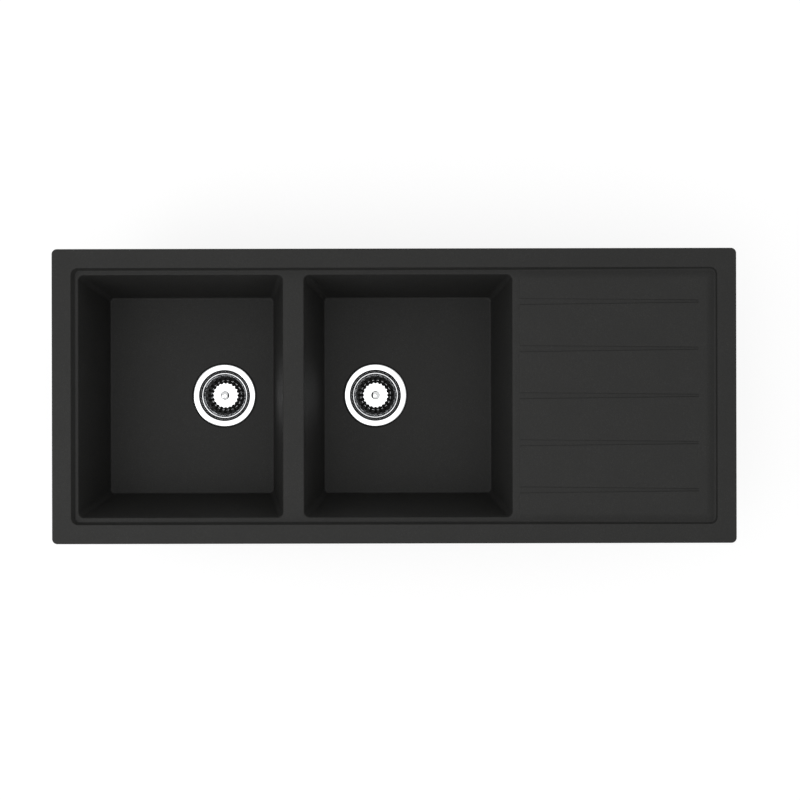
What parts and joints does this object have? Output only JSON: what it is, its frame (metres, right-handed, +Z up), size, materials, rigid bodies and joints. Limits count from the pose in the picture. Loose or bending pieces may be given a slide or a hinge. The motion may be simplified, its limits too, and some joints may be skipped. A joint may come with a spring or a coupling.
{
  "type": "double bowl kitchen sink",
  "caption": "Inset composite double bowl sink with a grooved drainer on the right, strainer basket wastes and swivelling fixing clips under the rim.",
  "frame": {"origin": "middle of the worktop cut-out, in the plane of the worktop's top, which is the rim's underside", "axes": "+X along the sink to the drainer, +Y to the back, +Z up"},
  "size_m": [1.16, 0.5, 0.272],
  "materials": {
    "composite": "matte",
    "polished_steel": "polished",
    "zinc_steel": "satin",
    "brass": "satin",
    "black_plastic": "satin",
    "black_rubber": "matte"
  },
  "bodies": {
    "root": {"sink_body": "composite", "left_waste_flange": "polished_steel", "left_flange_gasket": "black_rubber", "left_under_gasket": "black_rubber", "left_waste_housing": "black_plastic", "left_clamp_screw": "polished_steel", "left_screw_insert": "brass", "left_outlet_seal": "black_rubber", "left_outlet_coupling": "black_plastic", "right_waste_flange": "polished_steel", "right_flange_gasket": "black_rubber", "right_under_gasket": "black_rubber", "right_waste_housing": "black_plastic", "right_clamp_screw": "polished_steel", "right_screw_insert": "brass", "right_outlet_seal": "black_rubber", "right_outlet_coupling": "black_plastic", "clip_front_1_screw": "zinc_steel", "clip_front_1_insert": "brass", "clip_front_2_screw": "zinc_steel", "clip_front_2_insert": "brass", "clip_front_3_screw": "zinc_steel", "clip_front_3_insert": "brass", "clip_back_1_screw": "zinc_steel", "clip_back_1_insert": "brass", "clip_back_2_screw": "zinc_steel", "clip_back_2_insert": "brass", "clip_back_3_screw": "zinc_steel", "clip_back_3_insert": "brass", "clip_left_screw": "zinc_steel", "clip_left_insert": "brass", "clip_right_screw": "zinc_steel", "clip_right_insert": "brass"},
    "left_basket_unit": {"left_basket": "polished_steel", "left_basket_knob": "polished_steel", "left_basket_stem": "polished_steel", "left_basket_stopper": "black_rubber", "left_stem_washer": "polished_steel", "left_stem_grip_ring": "black_rubber"},
    "right_basket_unit": {"right_basket": "polished_steel", "right_basket_knob": "polished_steel", "right_basket_stem": "polished_steel", "right_basket_stopper": "black_rubber", "right_stem_washer": "polished_steel", "right_stem_grip_ring": "black_rubber"},
    "clip_front_1_swivel_arm": {"clip_front_1_arm": "zinc_steel"},
    "clip_front_2_swivel_arm": {"clip_front_2_arm": "zinc_steel"},
    "clip_front_3_swivel_arm": {"clip_front_3_arm": "zinc_steel"},
    "clip_back_1_swivel_arm": {"clip_back_1_arm": "zinc_steel"},
    "clip_back_2_swivel_arm": {"clip_back_2_arm": "zinc_steel"},
    "clip_back_3_swivel_arm": {"clip_back_3_arm": "zinc_steel"},
    "clip_left_swivel_arm": {"clip_left_arm": "zinc_steel"},
    "clip_right_swivel_arm": {"clip_right_arm": "zinc_steel"}
  },
  "joints": [
    {"name": "left_basket_lift", "type": "slide", "parent": "root", "child": "left_basket_unit", "axis": [0, 0, 1], "range_m": [0, 0.25]},
    {"name": "right_basket_lift", "type": "slide", "parent": "root", "child": "right_basket_unit", "axis": [0, 0, 1], "range_m": [0, 0.25]},
    {"name": "clip_front_1_swivel", "type": "hinge", "parent": "root", "child": "clip_front_1_swivel_arm", "pos_m": [-0.38, -0.2265, -0.05], "axis": [0, 0, -1], "range_deg": [0, 90]},
    {"name": "clip_front_2_swivel", "type": "hinge", "parent": "root", "child": "clip_front_2_swivel_arm", "pos_m": [0, -0.2265, -0.05], "axis": [0, 0, -1], "range_deg": [0, 90]},
    {"name": "clip_front_3_swivel", "type": "hinge", "parent": "root", "child": "clip_front_3_swivel_arm", "pos_m": [0.38, -0.2265, -0.05], "axis": [0, 0, -1], "range_deg": [0, 90]},
    {"name": "clip_back_1_swivel", "type": "hinge", "parent": "root", "child": "clip_back_1_swivel_arm", "pos_m": [-0.38, 0.2265, -0.05], "axis": [0, 0, 1], "range_deg": [0, 90]},
    {"name": "clip_back_2_swivel", "type": "hinge", "parent": "root", "child": "clip_back_2_swivel_arm", "pos_m": [0, 0.2265, -0.05], "axis": [0, 0, 1], "range_deg": [0, 90]},
    {"name": "clip_back_3_swivel", "type": "hinge", "parent": "root", "child": "clip_back_3_swivel_arm", "pos_m": [0.38, 0.2265, -0.05], "axis": [0, 0, 1], "range_deg": [0, 90]},
    {"name": "clip_left_swivel", "type": "hinge", "parent": "root", "child": "clip_left_swivel_arm", "pos_m": [-0.5565, 0, -0.05], "axis": [0, 0, 1], "range_deg": [0, 90]},
    {"name": "clip_right_swivel", "type": "hinge", "parent": "root", "child": "clip_right_swivel_arm", "pos_m": [0.5565, 0, -0.05], "axis": [0, 0, 1], "range_deg": [0, 90]}
  ]
}
